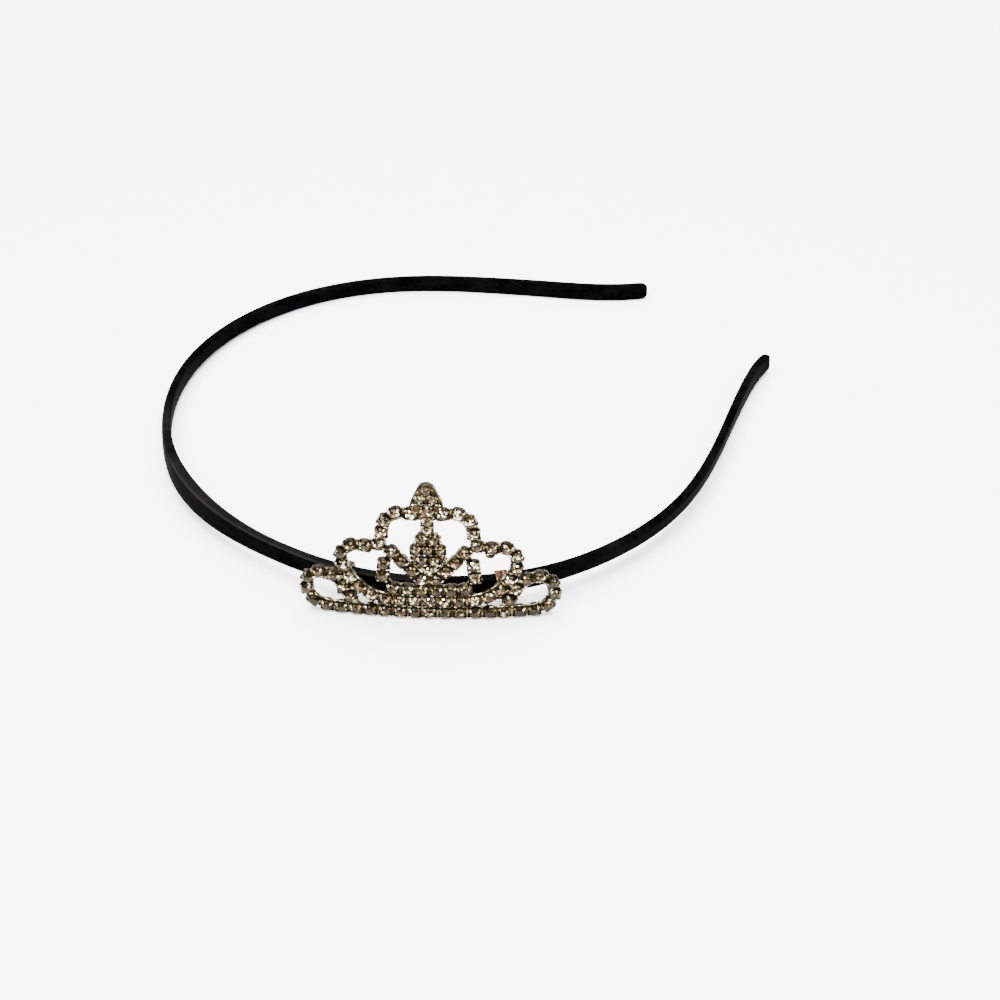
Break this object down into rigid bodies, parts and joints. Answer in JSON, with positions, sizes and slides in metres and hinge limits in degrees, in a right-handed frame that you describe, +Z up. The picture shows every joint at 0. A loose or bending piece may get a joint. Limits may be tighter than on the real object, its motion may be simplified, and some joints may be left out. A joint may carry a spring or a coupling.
{
  "type": "mini crown headband",
  "caption": "Slim satin-covered headband with a small upright rhinestone crown clipped to its outer face.",
  "frame": {"origin": "middle of the crown's foot strip, on the surface that the headband lies on", "axes": "+X along the crown to the right as seen from its front, +Y from the crown towards the open back of the band, +Z up"},
  "size_m": [0.151, 0.1488, 0.0329],
  "materials": {
    "satin_cover": "black satin ribbon with a soft sheen",
    "setting_metal": "silver-coloured plating, darkened between the cups",
    "stones": "clear cut rhinestones with foiled backs, champagne tint"
  },
  "bodies": {
    "root": {"headband": "satin_cover", "crown_setting": "setting_metal", "drop_stone": "stones", "rim_stones": "stones", "lobe_stones": "stones", "base_stones": "stones", "arch_stones": "stones", "leg_stones": "stones", "vee_stones": "stones", "centre_stones": "stones", "stem_stones": "stones", "drop_small_stones": "stones"}
  },
  "joints": []
}
